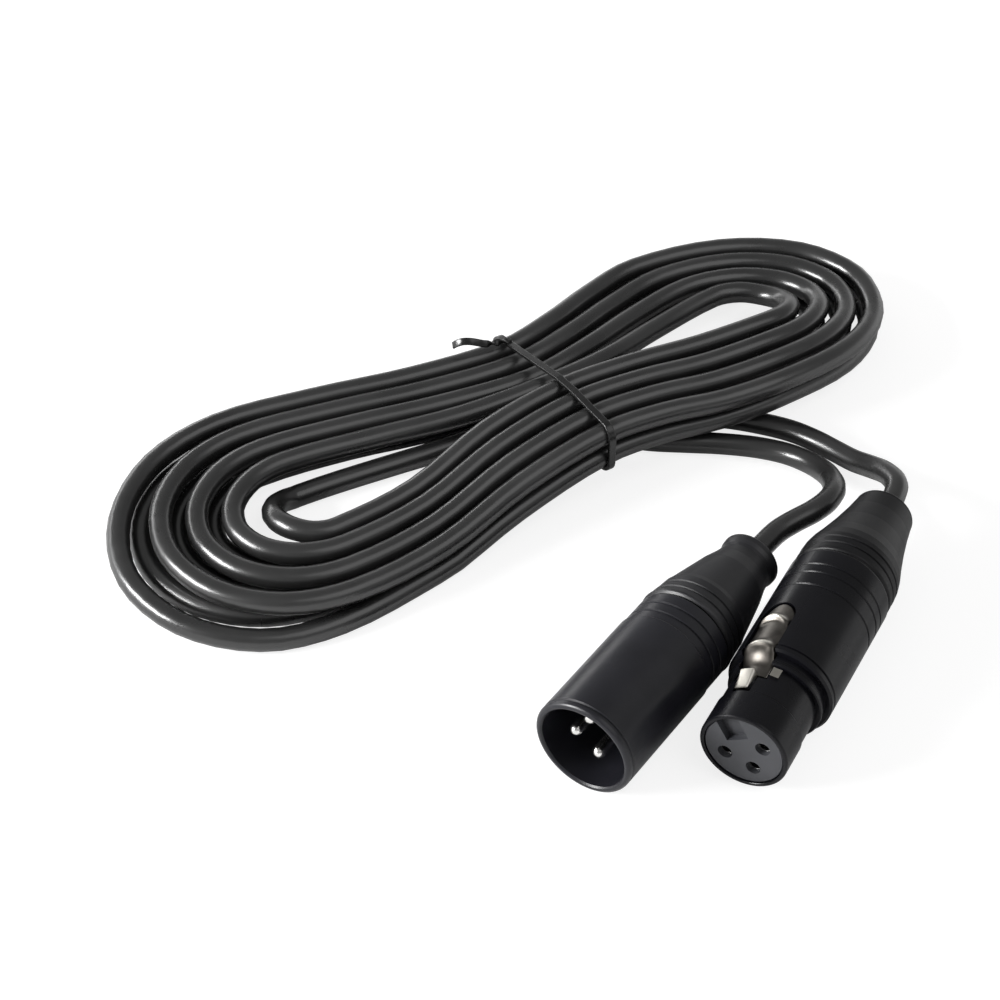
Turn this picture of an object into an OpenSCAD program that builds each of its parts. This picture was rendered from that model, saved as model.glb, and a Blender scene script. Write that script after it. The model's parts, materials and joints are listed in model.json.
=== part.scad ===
// Coiled microphone cable: a hank of black cable, tied at the waist, with a male and a
// female three-pole XLR connector lying in front of it. Millimetres, +Z up, the origin
// on the ground under the tie, +X along the hank.

/* [Cable and hank] */
// Outside diameter of the cable
cable_d = 4.4; // [4.3:0.05:4.5]
// Distance between neighbouring runs at the waist
waist_step = 5.3; // [5.2:0.1:5.6]
// Height from one layer of runs to the next
layer_pitch = 5.3; // [5.2:0.1:5.6]
// Reach of the outermost left-hand loop from the tie
left_reach = 92; // [90:1:96]
// Reach of the outermost right-hand loop from the tie
right_reach = 78; // [76:1:82]
// Half width of the outermost left-hand loop
left_half_width = 30; // [29.5:0.5:32]
// Half width of the outermost right-hand loop
right_half_width = 25.5; // [25:0.5:27]

/* [Twist tie] */
// Width of the tie along the cable
tie_width = 1.5; // [1:0.1:3]
// Thickness of the tie
tie_thickness = 0.8; // [0.4:0.1:0.8]

/* [Male connector] */
// Outside diameter of the male shell
male_d = 19; // [18.8:0.1:19.4]
// Length of the male connector, mouth to tail
male_length = 56; // [55:1:58]
// Bore of the socket that the female nose goes into
socket_d = 16.4; // [16.2:0.1:16.6]
// Depth of the socket
socket_depth = 15; // [14:0.5:15.5]
// Diameter of a contact pin
pin_d = 2.4; // [2.3:0.05:2.4]

/* [Female connector] */
// Outside diameter of the female body
female_d = 19.2; // [19:0.1:19.6]
// Length of the female connector, nose to tail
female_length = 66; // [65:1:68]
// Diameter of the nose
nose_d = 15.9; // [15.8:0.05:16]
// Length of the nose
nose_length = 15.6; // [15.4:0.1:15.9]

/* [Latch] */
// Width of the latch's tongue in the body
tongue_width = 6.2; // [6:0.1:6.4]
// Width of the latch's arm inside the body
arm_width = 4.9; // [4.5:0.1:5]
// Height of the hook above its foot
hook_height = 1.15; // [0.9:0.05:1.2]
// Distance of the hook's front from the nose face
hook_front = 7.2; // [7.2:0.1:7.5]
// Distance of the pivot pin from the nose face
pivot_z = 30.5; // [30.3:0.1:31]

/* [Hidden] */
$fn = 64;

// Finishes
black_metal = [0.07, 0.07, 0.09];
black_plastic = [0.09, 0.09, 0.10];
grey_plastic = [0.30, 0.31, 0.33];
nickel = [0.78, 0.77, 0.74];
cable_black = [0.05, 0.05, 0.055];
wire_colors = ["silver", "firebrick", "gainsboro"];

// Where the connectors lie: the mouth's centre, the heading and the roll of the key
male_mouth = [-44.5, -80.2];
male_heading = 24;
male_roll = 75;
female_nose = [-21.8, -94.6];
female_heading = 31.2;
female_roll = -31;

// Contacts: three on a circle, the third opposite the key
contact_r = 3.81;
contact_angles = [90, -90, 180];
fit_gap = 0.05;          // between pieces that slide into each other
body_gap = 0.3;          // between pieces that move past each other

cable_r = cable_d / 2;
male_r = male_d / 2;
female_r = female_d / 2;
socket_r = socket_d / 2;
pin_r = pin_d / 2;
nose_r = nose_d / 2;

// ---------------------------------------------------------------- geometry helpers

function unit(v) = v / norm(v);
function clamp01(v) = min(1, max(0, v));
function ease(v) = let (t = clamp01(v)) t * t * (3 - 2 * t);

// Points on an arc of a flat outline
function arc(centre, r, from, to, steps) =
    [for (i = [0 : steps]) let (a = from + (to - from) * i / steps)
        centre + r * [cos(a), sin(a)]];

// Direction of a path at one of its points
function heading(path, i) =
    unit(path[min(i + 1, len(path) - 1)] - path[max(i - 1, 0)]);

// A ring of points round a path's point, kept above the ground; flat squashes it and
// turn rotates it
function ring(path, i, r, sides, flat = 1, turn = 0) =
    let (t = heading(path, i), s = unit(cross(t, [0, 0, 1])), u = cross(s, t))
    [for (k = [0 : sides - 1])
        let (
            a = 360 * k / sides,
            c = r * cos(a),
            e = r * flat * sin(a),
            p = path[i] + (c * cos(turn) - e * sin(turn)) * s + (c * sin(turn) + e * cos(turn)) * u
        )
        [p[0], p[1], max(p[2], 0)]];

// A closed tube along a path, with its section turned by twist from end to end
module tube(path, r, sides, flat = 1, twist = 0) {
    rings = len(path);
    points = [for (i = [0 : rings - 1]) each ring(path, i, r, sides, flat, twist * i / (rings - 1))];
    walls = [for (i = [0 : rings - 2]) for (k = [0 : sides - 1])
        let (a = i * sides + k, b = i * sides + (k + 1) % sides)
        each [[a, b, a + sides], [b, b + sides, a + sides]]];
    first = [for (k = [1 : sides - 2]) [0, k + 1, k]];
    final = let (o = (rings - 1) * sides) [for (k = [1 : sides - 2]) [o, o + k, o + k + 1]];
    polyhedron(points, concat(walls, first, final));
}

// A solid of revolution from [radius, height] points
module turned(outline) {
    rotate_extrude() polygon(outline);
}

// ---------------------------------------------------------------- hank

// Loops are counted in turns: each turn is a left-hand loop and then a right-hand one.
// The bottom layer spirals outwards, climbs on the outermost left-hand loop, and the
// top layer spirals in again. Both ends lie on the ground in the middle of the waist.
turns = 7.5;
rings_a_turn = 24;
climb_turn = 3.25;                        // where the winding is outermost and climbs
reach = [left_reach, right_reach];
reach_step = [6.8, 6.1];                  // what each loop further in is shorter
top_shorter = [2.8, 1];                   // what the top layer's loops are shorter
end_length = [30, 38];                    // length of the rounded end of a loop
end_step = [4.8, 8.6];
half_width = [left_half_width, right_half_width];
width_step = 5.6;
side_shift = [1.2, 4.2];                  // the lobes lie a little to the far side
ground_z = 0.4 * cable_d;                 // the lowest run is cut flat by a tenth
waist_rise = 0.3 * cable_d;               // the tie's thickness lifts the waist
lead_lift = layer_pitch;                  // near runs rise over the two leads
lift_x = [-42, -4, 44, 80];               // where that rise starts, is full and ends
lift_y = [8, -5];
end_y = waist_step / 2;                   // the two ends, either side of the middle

function lead_field(x, y) =
    ease((x - lift_x[0]) / (lift_x[1] - lift_x[0]))
    * ease((lift_x[3] - x) / (lift_x[3] - lift_x[2]))
    * ease((lift_y[0] - y) / (lift_y[0] - lift_y[1]));

function hank_point(turn) =
    let (
        half = floor(turn * 2 + 0.000001),
        side = half % 2,                            // 0 left-hand lobe, 1 right-hand lobe
        way = side == 0 ? -1 : 1,
        t = max(0, turn * 2 - half),                // through this half turn
        out = abs(turn - climb_turn),
        inwards = out - side / 2,
        top = ease((turn - climb_turn) / 0.3 + 0.5),
        last = ease((turn - 7) / 0.5),
        down = ease((turn - 7.2) / 0.2),
        far = reach[side] - reach_step[side] * inwards - top_shorter[side] * top,
        round_end = end_length[side] - end_step[side] * inwards,
        width = half_width[side] - width_step * inwards,
        slot = waist_step * (4 - out + last),
        run = min(1, t * 4, (1 - t) * 4),
        bend = 180 * clamp01((t - 0.25) * 2),
        spread = ease(run),
        x = way * ((far - round_end) * run + round_end * sin(bend)),
        y = way * cos(bend) * (slot + (width - slot) * spread)
            + waist_step / 4 * (1 - 2 * top) + side_shift[side] * spread,
        lift = turn > 0.5 && turn < 7.2 ? lead_lift * lead_field(x, y) : 0
    )
    [x, y, ground_z + layer_pitch * (top - down) + lift + waist_rise * ease(1.9 - abs(x) / 14)];

hank_end_z = ground_z + waist_rise;
hank_path = concat(
    [[-8, -end_y, hank_end_z], [-12.5, -end_y, hank_end_z]],
    [for (i = [1 : turns * rings_a_turn - 1]) hank_point(i / rings_a_turn)],
    [[-12.5, end_y, hank_end_z], [-8, end_y, hank_end_z]]);

// Least distance between runs, measured on points four to a ring spacing
fine_path = [for (i = [0 : len(hank_path) - 2]) for (q = [0 : 3])
    hank_path[i] + (hank_path[i + 1] - hank_path[i]) * q / 4];
apart = 4 * rings_a_turn / 3;
function least_gap() = min([for (i = [0 : len(fine_path) - apart - 1])
    min([for (j = [i + apart : len(fine_path) - 1]) norm(fine_path[i] - fine_path[j])])]) - cable_d;

module cable_hank() {
    echo(hank_least_gap_mm = least_gap());
    echo(hank_length_mm = path_length(hank_path));
    color(cable_black) tube(hank_path, cable_r, 6);
}

function path_length(path) =
    [for (i = [1 : len(path) - 1]) norm(path[i] - path[i - 1])] * [for (i = [1 : len(path) - 1]) 1];

// ---------------------------------------------------------------- leads

male_lead_route = [
    [-8, -2.65, 3.1], [-3.5, -2.65, 3.1], [0, -3, 3.2], [4, -4.9, 3], [9, -9.6, 2.45],
    [14, -14, 2.25], [20, -18.2, 2.2], [25.3, -21.9, 2.2], [30.6, -26.4, 2.25],
    [34.4, -31.4, 2.6], [36, -36.8, 3.5], [35.6, -42, 5.1], [33.8, -46.4, 6.9],
    [31.4, -49.6, 8.2], [28, -51.8, 9], [23.8, -53, 9.4], [19.4, -53.4, 9.5],
    [15.2, -54, 9.5]];

female_lead_route = [
    [-8, 2.65, 3.1], [-3.5, 2.65, 3.1], [0, 2.6, 3.05], [5, 1.6, 2.8], [10, -0.8, 2.4],
    [15, -4.5, 2.25], [20, -8.6, 2.2], [25, -12, 2.2], [30.3, -15.6, 2.2], [35.3, -20.6, 2.2],
    [39.4, -26, 2.25], [41.6, -31.2, 2.5], [42.6, -36.2, 3.1], [43, -41.2, 4.3],
    [43.3, -46, 6.2], [43.2, -50.6, 8.1], [41.9, -54.9, 9.3]];

// ---------------------------------------------------------------- placing

// Stands a connector's own frame (+Z from the mouth to the tail, +X towards its key)
// on the ground, with the key turned from straight up by the roll
module lay_connector(mouth, r, direction, roll) {
    translate([mouth[0], mouth[1], r])
        rotate([0, 90, direction]) rotate([0, 0, 180 + roll]) children();
}

module lay_male() {
    lay_connector(male_mouth, male_r, male_heading, male_roll) children();
}

module lay_female() {
    lay_connector(female_nose, female_r, female_heading, female_roll) children();
}

// Point on a connector's axis, in the frame of the whole
function on_axis(mouth, r, direction, z) =
    [mouth[0] + z * cos(direction), mouth[1] + z * sin(direction), r];

male_tail = on_axis(male_mouth, male_r, male_heading, male_length);
male_tail_out = on_axis(male_mouth, male_r, male_heading, male_length + 5);
female_tail = on_axis(female_nose, female_r, female_heading, female_length);
female_tail_out = on_axis(female_nose, female_r, female_heading, female_length + 5);

module male_lead() {
    route = concat(male_lead_route, [male_tail_out, male_tail]);
    echo(male_lead_mm = path_length(route));
    color(cable_black) tube(route, cable_r, 8);
}

module female_lead() {
    route = concat(female_lead_route, [female_tail_out, female_tail]);
    echo(female_lead_mm = path_length(route));
    color(cable_black) tube(route, cable_r, 8);
}

// ---------------------------------------------------------------- twist tie

// Runs that the tie is pulled round, in [y, z] at the waist, anticlockwise
tie_rests = [for (turn = [2.5, 3.5, 7, 6, 4, 3]) let (p = hank_point(turn)) [p[1], p[2]]];
tie_corners = concat([[-end_y, hank_end_z]], tie_rests);
tie_inner_r = cable_r + 0.1;

function edge_angle(i) =
    let (n = len(tie_corners), v = tie_corners[(i + 1) % n] - tie_corners[(i + n) % n])
    atan2(v[1], v[0]) - 90;

// Outline of a band pulled tight round the corners at radius r
function band(r) = [for (i = [0 : len(tie_corners) - 1])
    let (from = edge_angle(i + len(tie_corners) - 1), turn = (edge_angle(i) - from + 720) % 360)
    each arc(tie_corners[i], r, from, from + turn, max(1, round(turn / 15)))];

// The tie's ends, twisted together on the far side of the top and curled up
tail_route = [
    [0.3, 16.3, 11.8], [-0.8, 16.5, 12.4], [-2, 16.6, 12.6], [-3.1, 16.8, 12.7],
    [-4.2, 17, 12.8], [-5.3, 17.3, 13.1], [-6.5, 17.7, 13.6], [-7.8, 18.3, 14],
    [-9, 19.1, 13.9], [-9.9, 20, 13.2], [-10.3, 20.7, 12.4]];

module twist_tie() {
    color("black") {
        rotate([90, 0, 90]) linear_extrude(tie_width, center = true) difference() {
            polygon(band(tie_inner_r + tie_thickness));
            polygon(band(tie_inner_r));
        }
        tube(tail_route, 0.85, 8, flat = 0.5, twist = 450);
    }
}

// ---------------------------------------------------------------- male connector

male_shell_end = 32.2;
male_pocket_r = 8.7;                      // what the insert slides into from behind
male_insert_back = 23.5;
pin_root_r = pin_r + 0.2;                 // inside the insert, and the solder cup
flange_z = 22;                            // the pins' flange, sunk in the insert's back
flange_r = pin_r + 0.5;
pin_tip_z = 3;
key_front = 12;
cup_depth = 3;                            // depth of a solder cup

module male_shell() {
    back_r = male_r - 0.2;
    color(black_metal) lay_male() difference() {
        turned(concat(
            [[socket_r, 0.35], [socket_r + 0.25, 0.05]],
            arc([male_r - 0.8, 0.8], 0.8, -90, 0, 5),
            [[male_r, 1], [male_r - 0.3, 1.2], [male_r - 0.3, 1.5], [male_r, 1.7],
             [male_r, 25.1], [back_r, 25.4]],
            [for (z = [26.8, 29.1]) each
                [[back_r, z], [back_r - 0.3, z + 0.15], [back_r - 0.3, z + 0.5], [back_r, z + 0.65]]],
            arc([back_r - 0.4, male_shell_end - 0.4], 0.4, 0, 90, 4),
            [[male_pocket_r, male_shell_end], [male_pocket_r, socket_depth], [socket_r, socket_depth]]));
        // notch inside the key side, where the latch's hook catches
        translate([socket_r - 0.3, -1.9, 2.1]) cube([1.2, 3.8, 4.2]);
    }
}

module male_insert() {
    color(black_plastic) lay_male() difference() {
        union() {
            translate([0, 0, socket_depth])
                cylinder(r = male_pocket_r - fit_gap, h = male_insert_back - socket_depth);
            // key that enters the recess in the female insert's face
            translate([5, -2, key_front]) cube([1.9, 4, socket_depth - key_front + 0.5]);
        }
        for (a = contact_angles) rotate(a) translate([contact_r, 0, 0]) {
            translate([0, 0, socket_depth - 1]) cylinder(r = pin_root_r + fit_gap, h = 12);
            translate([0, 0, flange_z]) cylinder(r = flange_r + fit_gap, h = 3);
        }
    }
}

// Contact pin with a domed tip, a shoulder seated in the insert and a solder cup
module pin(angle) {
    color(nickel) lay_male() rotate(angle) translate([contact_r, 0, 0]) difference() {
        turned(concat(
            arc([0, pin_tip_z + pin_r], pin_r, -90, 0, 8),
            [[pin_r, socket_depth], [pin_root_r, socket_depth],
             [pin_root_r, flange_z], [flange_r, flange_z], [flange_r, male_insert_back],
             [pin_root_r, male_insert_back], [pin_root_r, male_cup_z + cup_depth],
             [0, male_cup_z + cup_depth]]));
        translate([0, 0, male_cup_z]) cylinder(r = 0.8, h = cup_depth + 1);
    }
}

module male_pin_1() { pin(contact_angles[0]); }
module male_pin_2() { pin(contact_angles[1]); }
module male_pin_3() { pin(contact_angles[2]); }

// ---------------------------------------------------------------- tails of both connectors

gland_length = 12;
gland_r = 4;
thread_length = 3.5;                      // of a boot's thread inside its shell

// Room inside a boot: a cone that squeezes the chuck, a pocket for the gland and the
// hole for the cable
module boot_room(nose_z, shell_end, tail_z) {
    turned([[0, nose_z - 1], [7, nose_z - 1], [7, shell_end + 4],
            [gland_r + fit_gap, tail_z - gland_length - 2],
            [gland_r + fit_gap, tail_z - 2], [cable_r + 0.4, tail_z - 2],
            [cable_r + 0.4, tail_z + 1], [0, tail_z + 1]]);
}

// Collet on the cable: a front ring, and a cone split by four slits
module chuck(shell_end, tail_z) {
    back = tail_z - gland_length - 3;
    difference() {
        turned([[5.6, shell_end - 5], [6.6, shell_end - 5], [6.6, shell_end + 3.5],
                [3.9, back], [cable_r, back], [cable_r, shell_end + 3], [5.6, shell_end + 1]]);
        for (a = [0, 90]) rotate(a)
            translate([-8, -0.4, shell_end + 5]) cube([16, 0.8, tail_z]);
    }
}

module gland(tail_z) {
    difference() {
        turned([[0, tail_z - gland_length - 1.8], [gland_r - 0.5, tail_z - gland_length - 1.8],
                [gland_r, tail_z - gland_length - 1.3], [gland_r, tail_z - 2.1], [0, tail_z - 2.1]]);
        translate([0, 0, tail_z - gland_length - 3]) cylinder(r = cable_r + 0.1, h = gland_length + 3);
    }
}

module cable_end(cut_z, tail_z) {
    translate([0, 0, cut_z]) cylinder(r = cable_r, h = tail_z - cut_z);
}

// A wire from its solder cup to the cut end of the jacket
module wire(angle, cup_z, cut_z) {
    rotate(angle) tube([[contact_r, 0.001, cup_z], [contact_r, 0, cup_z + 2.6],
                        [contact_r - 0.5, 0, cup_z + 3.6], [1.4, 0, cut_z - 2.2],
                        [0.95, 0, cut_z - 1.2], [0.95, 0.001, cut_z]], 0.5, 6);
}

male_thread_nose = male_shell_end - thread_length;
male_cup_z = 25;
male_cut_z = 33;

module male_chuck() {
    color("ivory") lay_male() chuck(male_shell_end, male_length);
}

module male_boot() {
    front = male_shell_end + body_gap;
    bulge_r = male_r - 0.05;
    thread_r = male_pocket_r - body_gap;
    color(black_plastic) lay_male() difference() {
        turned(concat(
            [[0, male_thread_nose], [thread_r - 0.3, male_thread_nose],
             [thread_r, male_thread_nose + 0.3], [thread_r, front], [bulge_r - 0.5, front]],
            arc([bulge_r - 0.6, front + 0.7], 0.6, -60, 0, 3),
            [for (z = [34.3, 36.3]) each let (r = bulge_r - 0.13 * (z - front))
                [[r, z], [r - 0.3, z + 0.15], [r - 0.3, z + 0.4], [r - 0.05, z + 0.55]]],
            [[8.75, 38.4], [8.45, 39.4], [7.55, 43.6], [6.6, 48], [5.7, 51], [5.3, 53],
             [5.35, 53.8], [5.65, 54.6]],
            arc([5.1, male_length - 0.6], 0.6, 10, 90, 4),
            [[0, male_length]]));
        boot_room(male_thread_nose, male_shell_end, male_length);
    }
}

module male_gland() {
    color("dimgray") lay_male() gland(male_length);
}

module male_cable_end() {
    color(cable_black) lay_male() cable_end(male_cut_z, male_length);
}

module male_wire(number) {
    color(wire_colors[number]) lay_male() wire(contact_angles[number], male_cup_z, male_cut_z);
}

module male_wire_1() { male_wire(0); }
module male_wire_2() { male_wire(1); }
module male_wire_3() { male_wire(2); }

// ---------------------------------------------------------------- female connector

female_shell_end = 43;
nose_bore_r = nose_r - 0.8;
nose_land = 6.4;                          // the nose is relieved a little behind this
foot_z = nose_length - 2.4;               // low ring round the foot of the nose
female_pocket_r = 8.45;                   // the body's bore behind the nose
insert_seat_z = 17.5;
female_insert_back = 26.5;
hook_width = 3;
hook_slot = hook_width + 2 * body_gap;
hook_slot_z = 6.6;                        // front of the narrow window for the hook
slot_width = tongue_width + 2 * body_gap;
slot_z = 10.2;                            // front of the wide window for the tongue
slot_round_z = 24.5;                      // centre of the round end of window and tongue

module female_shell() {
    color(black_metal) lay_female() difference() {
        turned(concat(
            [[nose_bore_r, 0.1], [nose_bore_r + 0.1, 0]],
            arc([nose_r - 0.4, 0.4], 0.4, -90, 0, 4),
            [[nose_r, nose_land], [nose_r - 0.25, nose_land + 0.3], [nose_r - 0.25, foot_z],
             [nose_r + 0.45, foot_z], [nose_r + 0.65, foot_z + 0.2], [nose_r + 0.65, foot_z + 0.8],
             [nose_r + 0.4, foot_z + 1.1], [nose_r + 0.4, nose_length],
             [female_r - 0.4, nose_length], [female_r, nose_length + 0.4],
             [female_r, nose_length + 1.2], [female_r - 0.3, nose_length + 1.35],
             [female_r - 0.3, nose_length + 1.6], [female_r, nose_length + 1.75]],
            [for (z = [32.8, 36.2, 38.4]) each
                [[female_r, z], [female_r - 0.2, z + 0.15], [female_r - 0.2, z + 0.4], [female_r, z + 0.55]]],
            arc([female_r - 0.5, female_shell_end - 0.5], 0.5, 0, 90, 4),
            [[female_pocket_r, female_shell_end], [female_pocket_r, insert_seat_z],
             [nose_bore_r, insert_seat_z]]));
        // window for the latch: narrow for the hook, then wide up to a round end in the body
        translate([insert_slot_x, -hook_slot / 2, hook_slot_z]) cube([8, hook_slot, 5]);
        translate([insert_slot_x, -slot_width / 2, slot_z])
            cube([8, slot_width, slot_round_z - slot_z]);
        translate([insert_slot_x, 0, slot_round_z]) rotate([0, 90, 0])
            cylinder(d = slot_width, h = 8);
        latch_pivot(pin_half);
    }
}

insert_slot_x = 4.6;                      // floor of the slot for the latch

module female_insert() {
    color(grey_plastic) lay_female() difference() {
        turned([[0, 0.3], [nose_bore_r - fit_gap - 0.2, 0.3], [nose_bore_r - fit_gap, 0.5],
                [nose_bore_r - fit_gap, insert_seat_z], [female_pocket_r - fit_gap, insert_seat_z],
                [female_pocket_r - fit_gap, female_insert_back], [0, female_insert_back]]);
        // recess in the face for the key
        translate([2.4, -2.15, -1]) cube([6, 4.3, 2.8]);
        translate([insert_slot_x, -hook_slot / 2, hook_slot_z]) cube([6, hook_slot, 5]);
        translate([insert_slot_x, -slot_width / 2, slot_z]) cube([6, slot_width, 20]);
        for (a = contact_angles) rotate(a) translate([contact_r, 0, 0]) {
            cylinder(r = pin_r + 0.15, h = 2);
            translate([0, 0, sleeve_z]) cylinder(r = sleeve_r + fit_gap, h = sleeve_end - sleeve_z);
            translate([0, 0, sleeve_end - 1]) cylinder(r = pin_r + fit_gap, h = 12);
        }
    }
}

sleeve_r = 1.9;
sleeve_z = 1.5;
sleeve_end = 21;
female_cup_z = 27;

// Contact sleeve: bored from the front, shouldered in the insert, with a solder cup
module contact(angle) {
    color("goldenrod") lay_female() rotate(angle) translate([contact_r, 0, 0]) difference() {
        turned([[0, sleeve_z], [sleeve_r, sleeve_z], [sleeve_r, sleeve_end], [pin_r, sleeve_end],
                [pin_r, female_cup_z + cup_depth], [0, female_cup_z + cup_depth]]);
        translate([0, 0, 0.5]) cylinder(r = pin_r, h = 15.5);
        translate([0, 0, female_cup_z]) cylinder(r = 0.8, h = cup_depth + 1);
    }
}

module female_contact_1() { contact(contact_angles[0]); }
module female_contact_2() { contact(contact_angles[1]); }
module female_contact_3() { contact(contact_angles[2]); }

// ---------------------------------------------------------------- latch

pivot_x = 6.6;                            // the pivot is hidden under the body's wall
pin_half = 6;                             // half the length of the pivot pin
pivot_r = 0.6;
tongue_floor_x = 6.9;
tongue_front = 10.6;
hook_foot_x = 7.85;

module latch_pivot(half) {
    translate([pivot_x, 0, pivot_z]) rotate([90, 0, 0])
        cylinder(r = pivot_r, h = 2 * half, center = true);
}

module latch_pin() {
    color(nickel) lay_female() latch_pivot(pin_half);
}

// Side view of the hook, x outwards and y towards the tail: a ramp and a square back
module hook_side() {
    polygon([[tongue_floor_x, hook_front + 0.3], [7.3, hook_front], [hook_foot_x, hook_front],
             [hook_foot_x + hook_height, hook_front + 2.4],
             [hook_foot_x + hook_height, hook_front + 4], [7.6, hook_front + 4.1],
             [7.6, tongue_front + 2], [tongue_floor_x, tongue_front + 2]]);
}

// The tongue follows the round of the body: low in the nose, then rising over the collar
// to a ridge, with a second ridge near its round end
module tongue() {
    intersection() {
        turned([[5, tongue_front], [7.7, tongue_front], [7.7, 12.9], [8.9, 14.9], [9.4, 16.1],
                [9.8, 16.6], [9.9, 17], [9.75, 17.4], [9.35, 17.9], [9.3, 22.3],
                [9.7, 22.9], [10.1, 23.4], [10.15, 23.8], [9.9, 24.3], [9.45, 24.8],
                [9.45, 28], [5, 28]]);
        union() {
            translate([tongue_floor_x, -tongue_width / 2, tongue_front])
                cube([5, tongue_width, slot_round_z - tongue_front]);
            translate([tongue_floor_x, 0, slot_round_z]) rotate([0, 90, 0])
                cylinder(d = tongue_width, h = 5);
        }
    }
}

module female_latch() {
    color(nickel) lay_female() difference() {
        union() {
            rotate([90, 0, 0]) linear_extrude(hook_width, center = true) hook_side();
            tongue();
            // arm under the body's wall to the eye at the pivot
            rotate([90, 0, 0]) linear_extrude(arm_width, center = true) {
                polygon([[tongue_floor_x, 22], [7.7, 22], [7.7, 30], [6, 30], [6, 25]]);
                translate([pivot_x, pivot_z]) circle(r = pivot_r + 0.6);
            }
        }
        translate([pivot_x, 0, pivot_z]) rotate([90, 0, 0])
            cylinder(r = pivot_r + fit_gap, h = 2 * pin_half, center = true);
    }
}

// Leaf spring: its foot lies on the floor of the insert's slot, its crest under the tongue
module latch_spring() {
    color(nickel) lay_female() rotate([90, 0, 0]) linear_extrude(3, center = true)
        polygon([[insert_slot_x, 26.2], [insert_slot_x, 22.4], [4.9, 20.2], [5.9, 16.4],
                 [6.5, 14.2], [6.62, 13.6], [6.45, 12.6], [6.7, 12.5], [6.88, 13.6],
                 [6.76, 14.3], [6.15, 16.45], [5.15, 20.3], [4.85, 22.5], [4.85, 26.2]]);
}

// Earth spring: a washer round the first contact's cup, with a tab against the shell
module ground_spring() {
    color(nickel) lay_female() {
        translate([0, 0, female_insert_back]) difference() {
            union() {
                translate([0, contact_r, 0]) cylinder(r = 2.3, h = 0.3);
                translate([-1, contact_r, 0]) cube([2, female_pocket_r - contact_r - 0.1, 0.3]);
            }
            translate([0, contact_r, -1]) cylinder(r = pin_r + fit_gap, h = 3);
        }
        translate([-1, female_pocket_r - 0.4, female_insert_back]) cube([2, 0.3, 4]);
    }
}

// ---------------------------------------------------------------- female tail

female_thread_nose = female_shell_end - thread_length;
female_cut_z = 36.5;

module female_chuck() {
    color("ivory") lay_female() chuck(female_shell_end, female_length);
}

module female_boot() {
    front = female_shell_end + body_gap;
    rim_r = female_r - 0.15;
    thread_r = female_pocket_r - body_gap;
    color(black_plastic) lay_female() difference() {
        turned(concat(
            [[0, female_thread_nose], [thread_r - 0.3, female_thread_nose],
             [thread_r, female_thread_nose + 0.3], [thread_r, front], [rim_r - 0.4, front]],
            arc([rim_r - 0.6, front + 0.7], 0.6, -60, 0, 3),
            [for (z = [45.2, 46.9]) each
                [[rim_r, z], [rim_r - 0.3, z + 0.15], [rim_r - 0.3, z + 0.4], [rim_r - 0.05, z + 0.55]]],
            [[9.35, 48.4], [9, 50.2], [8.3, 52.6], [7.2, 57], [6.3, 61.4], [5.7, 65.2]],
            arc([5.1, female_length - 0.6], 0.6, 10, 90, 4),
            [[0, female_length]]));
        boot_room(female_thread_nose, female_shell_end, female_length);
    }
}

module female_gland() {
    color("dimgray") lay_female() gland(female_length);
}

module female_cable_end() {
    color(cable_black) lay_female() cable_end(female_cut_z, female_length);
}

module female_wire(number) {
    color(wire_colors[number]) lay_female() wire(contact_angles[number], female_cup_z, female_cut_z);
}

module female_wire_1() { female_wire(0); }
module female_wire_2() { female_wire(1); }
module female_wire_3() { female_wire(2); }

cable_hank();
male_lead();
female_lead();
twist_tie();
male_shell();
male_insert();
male_pin_1();
male_pin_2();
male_pin_3();
male_chuck();
male_boot();
male_gland();
male_cable_end();
male_wire_1();
male_wire_2();
male_wire_3();
female_shell();
female_insert();
female_contact_1();
female_contact_2();
female_contact_3();
female_latch();
latch_pin();
latch_spring();
ground_spring();
female_chuck();
female_boot();
female_gland();
female_cable_end();
female_wire_1();
female_wire_2();
female_wire_3();
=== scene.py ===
import json
import math
import bmesh
import bpy
from mathutils import Matrix, Vector


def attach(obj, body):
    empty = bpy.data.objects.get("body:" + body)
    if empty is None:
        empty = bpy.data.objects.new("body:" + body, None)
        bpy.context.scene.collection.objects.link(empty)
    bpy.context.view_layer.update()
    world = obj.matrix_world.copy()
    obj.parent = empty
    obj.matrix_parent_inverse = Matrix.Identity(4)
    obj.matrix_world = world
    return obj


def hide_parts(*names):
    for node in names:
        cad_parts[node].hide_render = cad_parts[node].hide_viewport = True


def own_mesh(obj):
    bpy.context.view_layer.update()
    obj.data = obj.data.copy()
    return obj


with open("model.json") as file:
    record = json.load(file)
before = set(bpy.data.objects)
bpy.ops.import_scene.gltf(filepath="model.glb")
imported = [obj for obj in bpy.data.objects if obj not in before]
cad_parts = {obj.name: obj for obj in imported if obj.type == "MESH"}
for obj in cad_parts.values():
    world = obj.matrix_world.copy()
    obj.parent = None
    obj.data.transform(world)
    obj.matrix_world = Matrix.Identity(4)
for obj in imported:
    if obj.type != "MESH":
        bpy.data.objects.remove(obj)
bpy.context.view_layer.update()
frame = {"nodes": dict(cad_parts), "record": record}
mm = 0.001

cameraAt = {
    "target": (-18.9, -11.5, 0.0),   # mm, on the floor
    "azimuth": -31.15,
    "elevation": 42.5,
    "distance": 449.0,
    "lens": 84.0,
    "sensor": 36.0,
    "clip": (0.01, 10.0),            # metres
}


def newObject(name, data):
    added = bpy.data.objects.new(name, data)
    bpy.context.collection.objects.link(added)
    return added


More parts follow.
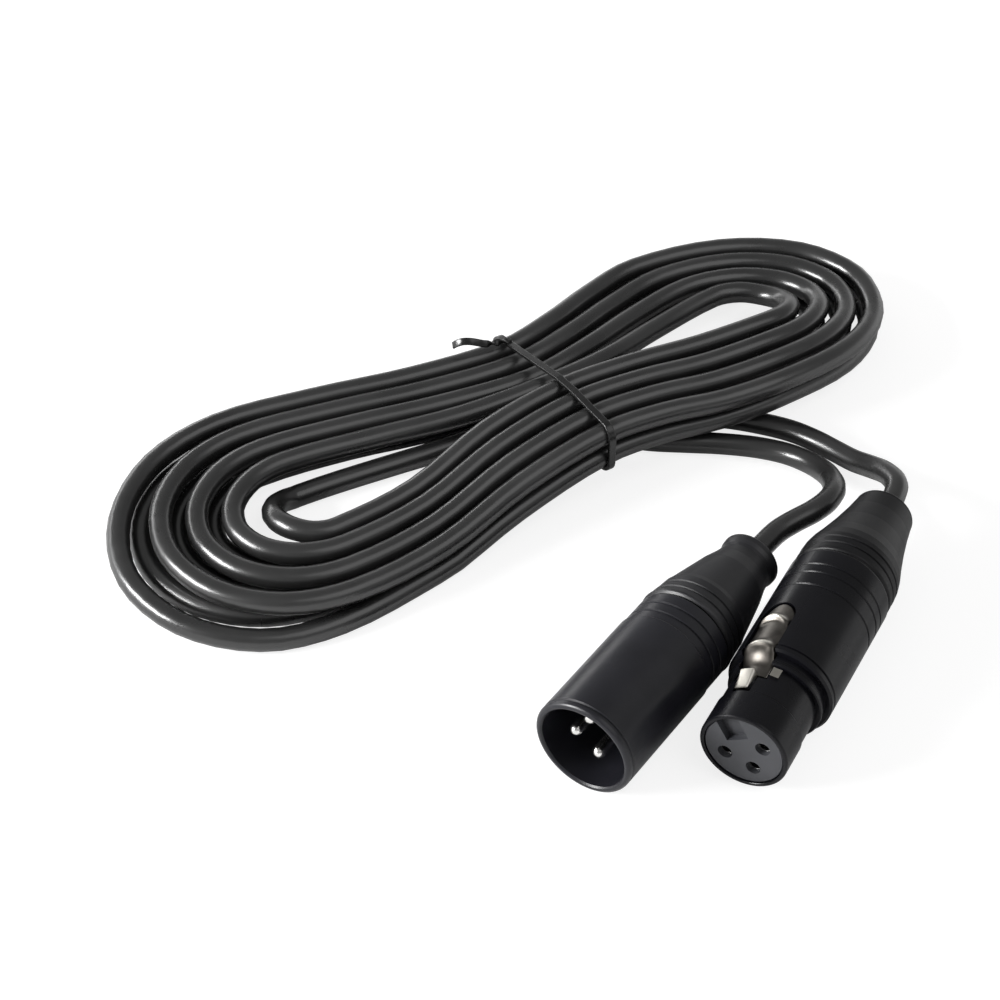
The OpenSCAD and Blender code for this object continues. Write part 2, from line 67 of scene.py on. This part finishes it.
def makeCamera():
    azimuth = math.radians(cameraAt["azimuth"])
    elevation = math.radians(cameraAt["elevation"])
    back = Vector((math.sin(azimuth) * math.cos(elevation),
                   -math.cos(azimuth) * math.cos(elevation),
                   math.sin(elevation)))
    data = bpy.data.cameras.new("camera")
    data.lens = cameraAt["lens"]
    data.sensor_width = cameraAt["sensor"]
    data.clip_start, data.clip_end = cameraAt["clip"]
    camera = newObject("camera", data)
    camera.location = (Vector(cameraAt["target"]) + back * cameraAt["distance"]) * mm
    camera.rotation_mode = "QUATERNION"
    camera.rotation_quaternion = (-back).to_track_quat("-Z", "Y")
    bpy.context.scene.camera = camera


makeCamera()
print("camera placed")

# In millimetres, with turns counted from the male lead. Where a value is a pair, it is for
# left-hand loops and then right-hand ones, unless its note says what it is
cable = {
    "diameter": 4.4,
    "turns": 7.5,             # a turn is a left-hand loop and then a right-hand one
    "ringsATurn": 24,
    "stepsBetween": 4,        # of the finer path, from ring to ring
    "bevelSteps": 4,
    "straightBehind": 5,      # runs on along the connector's axis behind its tail
    "climbTurn": 3.25,        # the winding climbs to its top layer here, outermost
    "climbLength": 0.3,
    "waistStep": 5.3,
    "waistRuns": 4,           # runs on each side of the waist's middle
    "waistEnds": ((-12.5, -2.65, 3.08), (-12.5, 2.65, 3.08)),   # of the male and female lead
    "straightShare": 0.25,    # of a loop, on each side of its round end
    "layerPitch": 5.3,
    "reach": (92.0, 78.0),
    "reachStep": (6.8, 6.1),
    "topShorter": (2.8, 1.0),
    "endLength": (30.0, 38.0),
    "endStep": (4.8, 8.6),
    "halfWidth": (30.0, 25.5),
    "widthStep": 5.6,
    "sideShift": (1.2, 4.2),
    "tightFrom": (3.3, 2.3),  # loops this far in are eased rounder at their ends
    "tightLength": 0.5,
    "tightWider": (0.7, 0.15),
    "tightShorter": (1.1, 0.8),
    "tightRounder": (1.0, 0.6),
    "lastTurn": (7, 0.5),     # from and over: the end closes in on the waist's middle
    "downTurn": (7.2, 0.2),   # from and over: the end goes down to the floor
    "baseHeight": 1.76,
    "waistRise": 1.32,
    "riseEnd": 1.9,           # the waist's rise is gone so many rise lengths from the tie
    "riseLength": 14,
    "leadLift": 5.3,          # where the loops lie on the two leads
    "liftTurns": (0.5, 7.2),  # from and to
    "liftX": (-42.0, -4.0, 44.0, 80.0),   # starts, is full, begins to end, is gone
    "liftY": (8.0, -5.0),     # starts, is full
}
hair = 0.000001               # keeps a whole half turn from rounding down

# The leads, from the waist to behind the connectors
maleLead = [
    (-8, -2.65, 3.1), (-3.5, -2.65, 3.1), (0, -3, 3.2), (4, -4.9, 3), (9, -9.6, 2.45),
    (14, -14, 2.25), (20, -18.2, 2.2), (25.3, -21.9, 2.2), (30.6, -26.4, 2.25),
    (34.4, -31.4, 2.6), (36, -36.8, 3.5), (35.6, -42, 5.1), (33.8, -46.4, 6.9),
    (31.4, -49.6, 8.2), (28, -51.8, 9), (23.8, -53, 9.4), (19.4, -53.4, 9.5),
    (15.2, -54, 9.5)]

femaleLead = [
    (-8, 2.65, 3.1), (-3.5, 2.65, 3.1), (0, 2.6, 3.05), (5, 1.6, 2.8), (10, -0.8, 2.4),
    (15, -4.5, 2.25), (20, -8.6, 2.2), (25, -12, 2.2), (30.3, -15.6, 2.2),
    (35.3, -20.6, 2.2), (39.4, -26, 2.25), (41.6, -31.2, 2.5), (42.6, -36.2, 3.1),
    (43, -41.2, 4.3), (43.3, -46, 6.2), (43.2, -50.6, 8.1), (41.9, -54.9, 9.3)]

# Where each connector's mouth lies, its height, and its heading and roll in degrees
male = {"mouth": (-44.5, -80.2), "radius": 9.5, "heading": 24.0, "roll": 75.0, "length": 56.0}
female = {"mouth": (-21.8, -94.6), "radius": 9.6, "heading": 31.2, "roll": -31.0, "length": 66.0}


def onAxis(connector, z):
    heading = math.radians(connector["heading"])
    return (connector["mouth"][0] + z * math.cos(heading),
            connector["mouth"][1] + z * math.sin(heading),
            connector["radius"])


def ease(value):
    value = min(1.0, max(0.0, value))
    return value * value * (3.0 - 2.0 * value)


def hankPoint(turn):
    c = cable
    half = int(turn * 2 + hair)
    side = half % 2
    way = -1 if side == 0 else 1
    t = max(0.0, turn * 2 - half)
    out = abs(turn - c["climbTurn"])
    inwards = out - side / 2
    top = ease((turn - c["climbTurn"]) / c["climbLength"] + 0.5)
    last = ease((turn - c["lastTurn"][0]) / c["lastTurn"][1])
    down = ease((turn - c["downTurn"][0]) / c["downTurn"][1])
    far = c["reach"][side] - c["reachStep"][side] * inwards - c["topShorter"][side] * top
    roundEnd = c["endLength"][side] - c["endStep"][side] * inwards
    width = c["halfWidth"][side] - c["widthStep"] * inwards
    tight = ease((inwards - c["tightFrom"][side]) / c["tightLength"])
    width += c["tightWider"][side] * tight
    far -= c["tightShorter"][side] * tight
    roundEnd += (width - roundEnd) * c["tightRounder"][side] * tight
    slot = c["waistStep"] * (c["waistRuns"] - out + last)
    straight = c["straightShare"]
    run = min(1.0, t / straight, (1 - t) / straight)
    bend = math.pi * min(1.0, max(0.0, (t - straight) / (1 - 2 * straight)))
    spread = ease(run)
    x = way * ((far - roundEnd) * run + roundEnd * math.sin(bend))
    y = (way * math.cos(bend) * (slot + (width - slot) * spread)
         + c["waistStep"] / 4 * (1 - 2 * top) + c["sideShift"][side] * spread)
    lift = 0.0
    if c["liftTurns"][0] < turn < c["liftTurns"][1]:
        startX, fullX, endFullX, stopX = c["liftX"]
        startY, fullY = c["liftY"]
        lift = (c["leadLift"] * ease((x - startX) / (fullX - startX))
                * ease((stopX - x) / (stopX - endFullX)) * ease((startY - y) / (startY - fullY)))
    z = (c["baseHeight"] + c["layerPitch"] * (top - down) + lift
         + c["waistRise"] * ease(c["riseEnd"] - abs(x) / c["riseLength"]))
    return (x, y, z)


def smoothThrough(points, steps):
    # Hermite curve through the points, each slope weighed by its neighbours' distances
    result = []
    for i in range(len(points) - 1):
        p0 = Vector(points[max(i - 1, 0)])
        p1 = Vector(points[i])
        p2 = Vector(points[i + 1])
        p3 = Vector(points[min(i + 2, len(points) - 1)])
        before, here, after = (p1 - p0).length, (p2 - p1).length, (p3 - p2).length
        slope1 = (p2 - p0) * (here / (before + here))
        slope2 = (p3 - p1) * (here / (here + after))
        for k in range(steps):
            t = k / steps
            result.append(p1 * (2 * t ** 3 - 3 * t ** 2 + 1) + slope1 * (t ** 3 - 2 * t ** 2 + t)
                          + p2 * (3 * t ** 2 - 2 * t ** 3) + slope2 * (t ** 3 - t ** 2))
    result.append(Vector(points[-1]))
    return result


def curveThrough(name, places):
    # Bevels are in millimetres, and each point's radius brings them to metres
    curve = bpy.data.curves.new(name, "CURVE")
    curve.dimensions = "3D"
    curve.use_fill_caps = True
    spline = curve.splines.new("POLY")
    spline.points.add(len(places) - 1)
    for point, place in zip(spline.points, places):
        point.co = (*(place * mm), 1.0)
        point.radius = mm
    return curve


def makeCable():
    hank = [hankPoint(i / cable["ringsATurn"])
            for i in range(1, int(cable["turns"] * cable["ringsATurn"]))]
    maleTail, femaleTail = [(onAxis(connector, connector["length"]),
                             onAxis(connector, connector["length"] + cable["straightBehind"]))
                            for connector in (male, female)]
    start, end = cable["waistEnds"]
    route = [*maleTail, *maleLead[::-1], start, *hank, end, *femaleLead, *femaleTail[::-1]]
    fine = smoothThrough(route, cable["stepsBetween"])
    for place in fine:
        place.z = max(place.z, cable["diameter"] / 2)
    curve = curveThrough("cable", fine)
    curve.bevel_depth = cable["diameter"] / 2
    curve.bevel_resolution = cable["bevelSteps"]
    piece = newObject("cable", curve)
    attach(piece, "coil")
    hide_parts("cable_hank", "male_lead", "female_lead")
    return piece


cablePiece = makeCable()
print("cable made")


def connectorPlace(connector):
    # From a connector's own millimetres, mouth to tail along Z, to where it lies
    mouth = Vector((*connector["mouth"], connector["radius"])) * mm
    return (Matrix.Translation(mouth)
            @ Matrix.Rotation(math.radians(connector["heading"]), 4, "Z")
            @ Matrix.Rotation(math.radians(90), 4, "Y")
            @ Matrix.Rotation(math.radians(180 + connector["roll"]), 4, "Z")
            @ Matrix.Scale(mm, 4))


sharpAngle = 38               # edges that turn more than this stay crisp


def pieceFrom(shape, name, place, body):
    bmesh.ops.recalc_face_normals(shape, faces=shape.faces)
    shape.transform(place)
    mesh = bpy.data.meshes.new(name)
    shape.to_mesh(mesh)
    shape.free()
    mesh.shade_smooth()
    mesh.set_sharp_from_angle(angle=math.radians(sharpAngle))
    piece = newObject(name, mesh)
    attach(piece, body)
    return piece


def pullOut(shape, faces, way):
    grown = bmesh.ops.extrude_face_region(shape, geom=faces)
    bmesh.ops.translate(shape, vec=way,
                        verts=[v for v in grown["geom"] if isinstance(v, bmesh.types.BMVert)])


tie = {
    "width": 1.5,
    "thickness": 0.8,
    "innerRadius": 2.3,
    "restTurns": (2.5, 3.5, 7, 6, 4, 3),   # runs that the tie is pulled round
    "firstRest": (-2.65, 3.08),
    "cornerStep": 0.13,       # radians
    "edgeRadius": 0.2,
    "edgeSteps": 3,
    "tailTwist": 400.0,       # degrees, over its first part only
    "twistShare": 0.45,
    "tailHalfWidth": 0.75,
    "tailHalfThickness": 0.24,
    "stepsBetween": 6,
}

tieTail = [
    (0.3, 16.3, 11.8), (-0.8, 16.5, 12.4), (-2, 16.6, 12.6), (-3.1, 16.8, 12.7),
    (-4.2, 17, 12.8), (-5.3, 17.3, 13.1), (-6.5, 17.7, 13.6), (-7.8, 18.3, 14),
    (-9, 19.1, 13.9), (-9.9, 20, 13.2), (-10.3, 20.7, 12.4)]


def tieOutline(radius):
    corners = [Vector(tie["firstRest"])]
    corners += [Vector(hankPoint(turn)[1:]) for turn in tie["restTurns"]]
    angles = []
    for i, corner in enumerate(corners):
        along = corners[(i + 1) % len(corners)] - corner
        angles.append(math.atan2(along.y, along.x) - math.pi / 2)
    outline = []
    for i, corner in enumerate(corners):
        start = angles[i - 1]
        turn = (angles[i] - start) % (2 * math.pi)
        steps = max(2, round(turn / tie["cornerStep"]))
        for k in range(steps + 1):
            angle = start + turn * k / steps
            outline.append((corner.x + radius * math.cos(angle),
                            corner.y + radius * math.sin(angle)))
    return outline


def makeTie():
    shape = bmesh.new()
    loops = []
    for radius in (tie["innerRadius"] + tie["thickness"], tie["innerRadius"]):
        verts = [shape.verts.new((-tie["width"] / 2, y, z)) for y, z in tieOutline(radius)]
        loops += [shape.edges.new((verts[i - 1], verts[i])) for i in range(len(verts))]
    bmesh.ops.bridge_loops(shape, edges=loops)
    pullOut(shape, shape.faces[:], (tie["width"], 0, 0))
    band = pieceFrom(shape, "tieBand", Matrix.Scale(mm, 4), "coil")
    rounded = band.modifiers.new("edges", "BEVEL")
    rounded.width = tie["edgeRadius"] * mm
    rounded.segments = tie["edgeSteps"]
    rounded.limit_method = "ANGLE"
    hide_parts("twist_tie")
    return band


def makeTieTail():
    fine = smoothThrough(tieTail, tie["stepsBetween"])
    strip = curveThrough("tieTail", fine)
    strip.twist_mode = "Z_UP"
    for i, point in enumerate(strip.splines[0].points):
        share = i / (len(fine) - 1)
        point.tilt = math.radians(tie["tailTwist"] * min(1.0, share / tie["twistShare"]))
    strip.extrude = tie["tailHalfWidth"] - tie["tailHalfThickness"]
    strip.bevel_depth = tie["tailHalfThickness"]
    strip.bevel_resolution = tie["edgeSteps"]
    piece = newObject("tieTail", strip)
    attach(piece, "coil")
    return piece


tieBand = makeTie()
tieTailPiece = makeTieTail()
print("tie made")


# The latch in the female connector's own millimetres: z from the mouth, x outwards, and
# each ridge as its place, bow, half length and height
latch = {
    "halfWidth": 3.1,
    "front": 10.6,
    "roundCentre": 24.5,
    "floor": 6.9,
    "noseHeight": 7.7,        # where it lies in the nose's window
    "bodyHeight": 9.35,       # where it lies in the body's window
    "slope": (12.9, 16.2),
    "ridges": ((17.2, 0.10, 0.75, 0.6), (24.0, 0.16, 0.65, 0.85)),
    "highlightShift": -0.2,      # the painted highlight band beside a ridge's crest
    "highlightFrom": 0.45,         # shares of a ridge's height
    "highlightOver": 0.4,
    "squares": (22, 130),
    "acrossShare": 0.998,     # keeps the edges off the very ends of the ridges
    "roundShare": 0.98,
    "edgeDrop": 0.35,
    "edgePower": 12,
    "hook": {"front": 7.3, "back": 11.25, "floor": 6.9, "low": 7.85, "top": 9.0,
             "halfWidth": 1.5, "edgeRadius": 0.42},
    "catch": {"front": 10.9, "back": 12.9, "floor": 7.3, "low": 8.15, "top": 8.4,
              "halfWidth": 0.95, "edgeRadius": 0.2},
    "catchTurn": 33.0,
    "hookTaper": 0.85,
    "edgeSteps": 4,
    "arm": (6.0, 7.7, 25.0, 30.2),     # x and then z, from and to
    "armLap": (3, 0.2),
    "armHalfWidth": 2.45,
    "pivot": (6.6, 30.5),
    "eyeRadius": 1.2,
    "eyeSides": 32,
}


def ridge(y, z, place, bow, halfLength, height):
    # A crescent across the tongue, highest in the middle
    away = (z - place + bow * y * y) / halfLength
    return height * math.exp(-away * away) * (1 - (y / latch["halfWidth"]) ** 2) ** 0.5


def latchTop(y, z):
    low, high = latch["slope"]
    radius = latch["noseHeight"] + ((latch["bodyHeight"] - latch["noseHeight"])
                                    * ease((z - low) / (high - low)))
    return (math.sqrt(radius * radius - y * y)
            + sum(ridge(y, z, *bulge) for bulge in latch["ridges"]))


def addBox(shape, low, high):
    verts = bmesh.ops.create_cube(shape, size=1.0)["verts"]
    for vert in verts:
        vert.co = [b if v > 0 else a for a, b, v in zip(low, high, vert.co)]
    return verts


def addTongue(shape, paintedHighlight):
    squaresAcross, squaresAlong = latch["squares"]
    bmesh.ops.create_grid(shape, x_segments=squaresAcross, y_segments=squaresAlong, size=1.0)
    straight = latch["roundCentre"] - latch["front"]
    total = straight + math.pi / 2 * latch["halfWidth"]
    for vert in shape.verts:
        across = vert.co.x * latch["acrossShare"]
        run = (vert.co.y + 1) / 2 * total
        angle = max(0.0, run - straight) / latch["halfWidth"]
        y = across * latch["halfWidth"] * math.cos(angle * latch["roundShare"])
        z = latch["front"] + min(run, straight) + latch["halfWidth"] * math.sin(angle)
        # Painted highlight: the pale nickel colour is laid on a band beside each ridge's crest
        crest = sum(ridge(y, z + latch["highlightShift"], *bulge) / bulge[3]
                    for bulge in latch["ridges"])
        vert[paintedHighlight] = ease((crest - latch["highlightFrom"]) / latch["highlightOver"])
        vert.co = (latchTop(y, z) - latch["edgeDrop"] * abs(across) ** latch["edgePower"], y, z)
    lower = bmesh.ops.extrude_face_region(shape, geom=shape.faces[:])
    for vert in lower["geom"]:
        if isinstance(vert, bmesh.types.BMVert):
            vert.co.x = latch["floor"]


def addHook(shape, paintedHighlight, hook):
    back, halfWidth = hook["back"], hook["halfWidth"]
    verts = addBox(shape, (hook["floor"], -halfWidth, hook["front"]),
                   (hook["top"], halfWidth, back))
    for vert in verts:
        # The whole hook is painted highlight
        vert[paintedHighlight] = 1.0
        if vert.co.z < back and vert.co.x > hook["floor"]:
            vert.co.x = hook["low"]
            vert.co.y *= latch["hookTaper"]
    edges = list(dict.fromkeys(edge for vert in verts for edge in vert.link_edges))
    bmesh.ops.bevel(shape, geom=edges, offset=hook["edgeRadius"], segments=latch["edgeSteps"],
                    profile=0.5, affect="EDGES", material=-1, clamp_overlap=True)


def makeLatch():
    shape = bmesh.new()
    # A per-vertex mask of where painted highlight is laid
    paintedHighlight = shape.verts.layers.float.new("paintedHighlight")
    addTongue(shape, paintedHighlight)
    addHook(shape, paintedHighlight, latch["hook"])
    inner, outer, start, end = latch["arm"]
    width = latch["armHalfWidth"]
    lapBack, lapOn = latch["armLap"]
    addBox(shape, (latch["floor"], -width, start - lapBack), (outer, width, start + lapOn))
    addBox(shape, (inner, -width, start), (outer, width, end))
    eye = bmesh.ops.create_cone(shape, cap_ends=True, segments=latch["eyeSides"],
                                radius1=latch["eyeRadius"], radius2=latch["eyeRadius"],
                                depth=2 * width)
    bmesh.ops.rotate(shape, verts=eye["verts"], cent=(0, 0, 0),
                     matrix=Matrix.Rotation(math.radians(90), 3, "X"))
    bmesh.ops.translate(shape, verts=eye["verts"], vec=(latch["pivot"][0], 0, latch["pivot"][1]))
    piece = pieceFrom(shape, "latchTongue", connectorPlace(female), "latch")
    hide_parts("female_latch")
    return piece


def makeCatch():
    # A small fixed catch on the nose beside the hook
    shape = bmesh.new()
    paintedHighlight = shape.verts.layers.float.new("paintedHighlight")
    # The catch is painted highlight all over
    addHook(shape, paintedHighlight, latch["catch"])
    turn = Matrix.Rotation(math.radians(latch["catchTurn"]), 4, "Z")
    return pieceFrom(shape, "noseCatch", connectorPlace(female) @ turn, "coil")


# The leaf spring's side, x and z, from its foot to its crest and back
spring = {
    "side": [(4.62, 26.2), (4.62, 22.4), (4.9, 20.2), (5.9, 16.4), (6.5, 14.2), (6.62, 13.6),
             (6.45, 12.6), (6.7, 12.5), (6.86, 13.6), (6.74, 14.3), (6.15, 16.45), (5.15, 20.3),
             (4.85, 22.5), (4.85, 26.2)],
    "halfWidth": 1.5,
    "foot": (4.62, 0, 24),
    "keep": 0.42,             # of its height when the tongue is pressed
}


def makeSpring():
    shape = bmesh.new()
    side = shape.faces.new([shape.verts.new((x, -spring["halfWidth"], z))
                            for x, z in spring["side"]])
    pullOut(shape, [side], (0, 2 * spring["halfWidth"], 0))
    place = connectorPlace(female)
    piece = pieceFrom(shape, "leafSpring", place, "coil")
    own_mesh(piece)
    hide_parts("latch_spring")
    return piece


latchPiece = makeLatch()
catchPiece = makeCatch()
springPiece = makeSpring()
print("latch made")


# Each finish: two shades that drift into each other over so many millimetres, a range of
# roughness, the size and depth of its grain in millimetres, how strongly it mirrors, and
# the share of it that is metal
finishes = {
    "cable": {"dark": (0.009, 0.009, 0.009), "pale": (0.018, 0.018, 0.018), "drift": 12.0,
              "rough": (0.25, 0.33), "grain": 0.4, "depth": 0.003, "mirror": 0.75},
    "tie": {"dark": (0.003, 0.003, 0.003), "pale": (0.006, 0.006, 0.006), "drift": 4.0,
            "rough": (0.2, 0.3), "grain": 0.5, "depth": 0.004, "mirror": 0.5},
    "shell": {"dark": (0.007, 0.007, 0.0095), "pale": (0.011, 0.011, 0.0145), "drift": 9.0,
              "rough": (0.30, 0.38), "grain": 0.12, "depth": 0.003, "mirror": 0.36},
    # A darker copy of the shell finish: painted shade for the female connector's shell
    "paintedShadeShell": {"dark": (0.0025, 0.0025, 0.0035), "pale": (0.004, 0.004, 0.0055),
                  "drift": 9.0, "rough": (0.24, 0.31), "grain": 0.12, "depth": 0.003,
                  "mirror": 0.2},
    "boot": {"dark": (0.005, 0.005, 0.0065), "pale": (0.009, 0.009, 0.011), "drift": 7.0,
             "rough": (0.40, 0.50), "grain": 0.16, "depth": 0.006, "mirror": 0.42},
    # A darker copy of the boot finish: painted shade for the female connector's boot
    "paintedShadeBoot": {"dark": (0.003, 0.003, 0.0035), "pale": (0.005, 0.005, 0.006),
                 "drift": 7.0, "rough": (0.36, 0.46), "grain": 0.16, "depth": 0.006,
                 "mirror": 0.22},
    "socket_plastic": {"dark": (0.018, 0.020, 0.026), "pale": (0.026, 0.029, 0.037),
                       "drift": 5.0, "rough": (0.45, 0.55), "grain": 0.2, "depth": 0.006,
                       "mirror": 0.5},
    "grey_plastic": {"dark": (0.028, 0.029, 0.033), "pale": (0.038, 0.039, 0.044),
                     "drift": 5.0, "rough": (0.42, 0.55), "grain": 0.25, "depth": 0.01,
                     "mirror": 0.5},
    # The nickel's dark base colour is painted shade: a painted reflection of dark surroundings
    "nickel": {"dark": (0.07, 0.064, 0.058), "pale": (0.12, 0.112, 0.10), "drift": 2.2,
               "rough": (0.28, 0.36), "grain": 0.8, "depth": 0.002, "metal": 1.0,
               # The pale colour below is a painted highlight on the latch's ridge crests, hook
               # and catch
               "polished": (0.80, 0.77, 0.70)},
    "silver": {"dark": (0.72, 0.71, 0.69), "pale": (0.86, 0.85, 0.83), "drift": 1.2,
               "rough": (0.14, 0.24), "grain": 0.3, "depth": 0.002, "metal": 1.0},
    "chuck_plastic": {"dark": (0.55, 0.53, 0.46), "pale": (0.64, 0.62, 0.55), "drift": 5.0,
                      "rough": (0.4, 0.5), "grain": 0.3, "depth": 0.01, "mirror": 0.5},
    "gland_rubber": {"dark": (0.02, 0.02, 0.02), "pale": (0.03, 0.03, 0.03), "drift": 4.0,
                     "rough": (0.6, 0.7), "grain": 0.25, "depth": 0.02, "mirror": 0.3},
    "wire_screen": {"dark": (0.5, 0.4, 0.3), "pale": (0.7, 0.58, 0.45), "drift": 0.8,
                    "rough": (0.3, 0.45), "grain": 0.15, "depth": 0.03, "metal": 1.0},
    "wire_red": {"dark": (0.36, 0.02, 0.02), "pale": (0.48, 0.03, 0.03), "drift": 2.0,
                 "rough": (0.3, 0.4), "grain": 0.3, "depth": 0.01, "mirror": 0.5},
    "wire_white": {"dark": (0.62, 0.62, 0.60), "pale": (0.74, 0.74, 0.72), "drift": 2.0,
                   "rough": (0.3, 0.4), "grain": 0.3, "depth": 0.01, "mirror": 0.5},
}


noiseSpread = (0.3, 0.7)      # the part of a noise that runs from one value to the other
noiseDetail = {"drift": 4.0, "grain": 3.0}


def addNoise(nodes, links, place, look, kind):
    noise = nodes.new("ShaderNodeTexNoise")
    noise.inputs["Scale"].default_value = 1 / (look[kind] * mm)
    noise.inputs["Detail"].default_value = noiseDetail[kind]
    links.new(place, noise.inputs["Vector"])
    return noise


def makeFinish(name, look):
    material = bpy.data.materials.new(name)
    material.use_nodes = True
    nodes = material.node_tree.nodes
    links = material.node_tree.links
    shader = nodes["Principled BSDF"]
    shader.inputs["Metallic"].default_value = look.get("metal", 0.0)
    shader.inputs["Specular IOR Level"].default_value = look.get("mirror", 0.5)
    place = nodes.new("ShaderNodeTexCoord").outputs["Object"]

    drift = addNoise(nodes, links, place, look, "drift")
    shades = nodes.new("ShaderNodeValToRGB")
    for stop, at, shade in zip(shades.color_ramp.elements, noiseSpread, ("dark", "pale")):
        stop.position = at
        stop.color = (*look[shade], 1)
    links.new(drift.outputs["Fac"], shades.inputs["Fac"])
    colour = shades.outputs["Color"]

    # Painted highlight: the base colour turns to the pale highlight colour where the mesh's
    # highlight mask is set
    if "polished" in look:
        highlightMask = nodes.new("ShaderNodeAttribute")
        highlightMask.attribute_name = "paintedHighlight"
        highlighted = nodes.new("ShaderNodeMix")
        highlighted.data_type = "RGBA"
        highlighted.inputs["B"].default_value = (*look["polished"], 1)
        links.new(highlightMask.outputs["Fac"], highlighted.inputs["Factor"])
        links.new(colour, highlighted.inputs["A"])
        colour = highlighted.outputs["Result"]
    links.new(colour, shader.inputs["Base Color"])

    sheen = nodes.new("ShaderNodeMapRange")
    sheen.inputs["From Min"].default_value, sheen.inputs["From Max"].default_value = noiseSpread
    sheen.inputs["To Min"].default_value, sheen.inputs["To Max"].default_value = look["rough"]
    links.new(drift.outputs["Fac"], sheen.inputs["Value"])
    links.new(sheen.outputs["Result"], shader.inputs["Roughness"])

    grain = addNoise(nodes, links, place, look, "grain")
    bump = nodes.new("ShaderNodeBump")
    bump.inputs["Strength"].default_value = 1.0
    bump.inputs["Distance"].default_value = look["depth"] * mm
    links.new(grain.outputs["Fac"], bump.inputs["Height"])
    links.new(bump.outputs["Normal"], shader.inputs["Normal"])
    return material


# The female connector's shell and boot take the darker copies of their finishes: painted shade
paintedShadeCopies = {"female_shell": "paintedShadeShell", "female_boot": "paintedShadeBoot"}
materials = {slot: makeFinish(slot, look) for slot, look in finishes.items()}
for part in frame["record"]["subparts"]:
    node = frame["nodes"][part["node"]]
    finish = paintedShadeCopies.get(part["node"], part["material_slot"])
    node.data.materials.clear()
    node.data.materials.append(materials[finish])
for piece, finish in ((cablePiece, "cable"), (tieBand, "tie"), (tieTailPiece, "tie"),
                      (latchPiece, "nickel"), (catchPiece, "nickel"), (springPiece, "nickel")):
    piece.data.materials.append(materials[finish])
print("finishes made", len(materials))


stage = {
    "floorSize": 3.0,
    "floorRough": 0.9,
    "floorColour": 0.85,
    "floorGlow": 0.62,        # share of plain white that the camera sees in the floor
    "glowStrength": 1.3,
    "overhead": 0.35,         # light from above, and from the white sweep low all round
    "horizon": 1.4,
    "sweepHeight": 0.33,
}

# Place, size and power of each soft box, aimed at the hank
lamps = {
    "backLight": ((-0.35, 1.1, 0.22), (1.4, 0.16), 3.0),
    "leftLight": ((-0.95, 0.32, 0.44), (0.6, 0.25), 22.0),
    "frontLight": ((0.3, -0.7, 1.1), (1.2, 0.9), 4.0),
}


def makeFloor():
    mesh = bpy.data.meshes.new("floor")
    shape = bmesh.new()
    bmesh.ops.create_grid(shape, x_segments=1, y_segments=1, size=stage["floorSize"])
    shape.to_mesh(mesh)
    shape.free()
    floor = newObject("floor", mesh)
    material = bpy.data.materials.new("whiteFloor")
    material.use_nodes = True
    nodes = material.node_tree.nodes
    links = material.node_tree.links
    shader = nodes["Principled BSDF"]
    shader.inputs["Base Color"].default_value = (*[stage["floorColour"]] * 3, 1)
    shader.inputs["Roughness"].default_value = stage["floorRough"]
    shader.inputs["Specular IOR Level"].default_value = 0.0
    white = nodes.new("ShaderNodeEmission")
    white.inputs["Strength"].default_value = stage["glowStrength"]
    rays = nodes.new("ShaderNodeLightPath")
    share = nodes.new("ShaderNodeMath")
    share.operation = "MULTIPLY"
    share.inputs[1].default_value = stage["floorGlow"]
    links.new(rays.outputs["Is Camera Ray"], share.inputs[0])
    blend = nodes.new("ShaderNodeMixShader")
    links.new(share.outputs["Value"], blend.inputs["Fac"])
    links.new(shader.outputs["BSDF"], blend.inputs[1])
    links.new(white.outputs["Emission"], blend.inputs[2])
    links.new(blend.outputs["Shader"], nodes["Material Output"].inputs["Surface"])
    mesh.materials.append(material)


def makeWorld():
    world = bpy.data.worlds.new("world")
    bpy.context.scene.world = world
    world.use_nodes = True
    nodes = world.node_tree.nodes
    links = world.node_tree.links
    background = nodes["Background"]
    background.inputs["Color"].default_value = (1, 1, 1, 1)
    direction = nodes.new("ShaderNodeSeparateXYZ")
    links.new(nodes.new("ShaderNodeTexCoord").outputs["Generated"], direction.inputs["Vector"])
    sweep = nodes.new("ShaderNodeMapRange")
    sweep.interpolation_type = "SMOOTHSTEP"
    sweep.inputs["From Max"].default_value = stage["sweepHeight"]
    sweep.inputs["To Min"].default_value = stage["horizon"]
    sweep.inputs["To Max"].default_value = stage["overhead"]
    links.new(direction.outputs["Z"], sweep.inputs["Value"])
    rays = nodes.new("ShaderNodeLightPath")
    level = nodes.new("ShaderNodeMix")
    links.new(rays.outputs["Is Camera Ray"], level.inputs["Factor"])
    links.new(sweep.outputs["Result"], level.inputs["A"])
    level.inputs["B"].default_value = 1.0
    links.new(level.outputs["Result"], background.inputs["Strength"])


def makeLamp(name, place, size, power):
    data = bpy.data.lights.new(name, "AREA")
    data.shape = "RECTANGLE"
    data.size, data.size_y = size
    data.energy = power
    lamp = newObject(name, data)
    lamp.location = place
    lamp.rotation_mode = "QUATERNION"
    lamp.rotation_quaternion = (-Vector(place)).to_track_quat("-Z", "Y")


makeFloor()
makeWorld()
for lampName, (place, size, power) in lamps.items():
    makeLamp(lampName, place, size, power)
bpy.context.scene.view_settings.view_transform = "Standard"
print("stage and lights made")
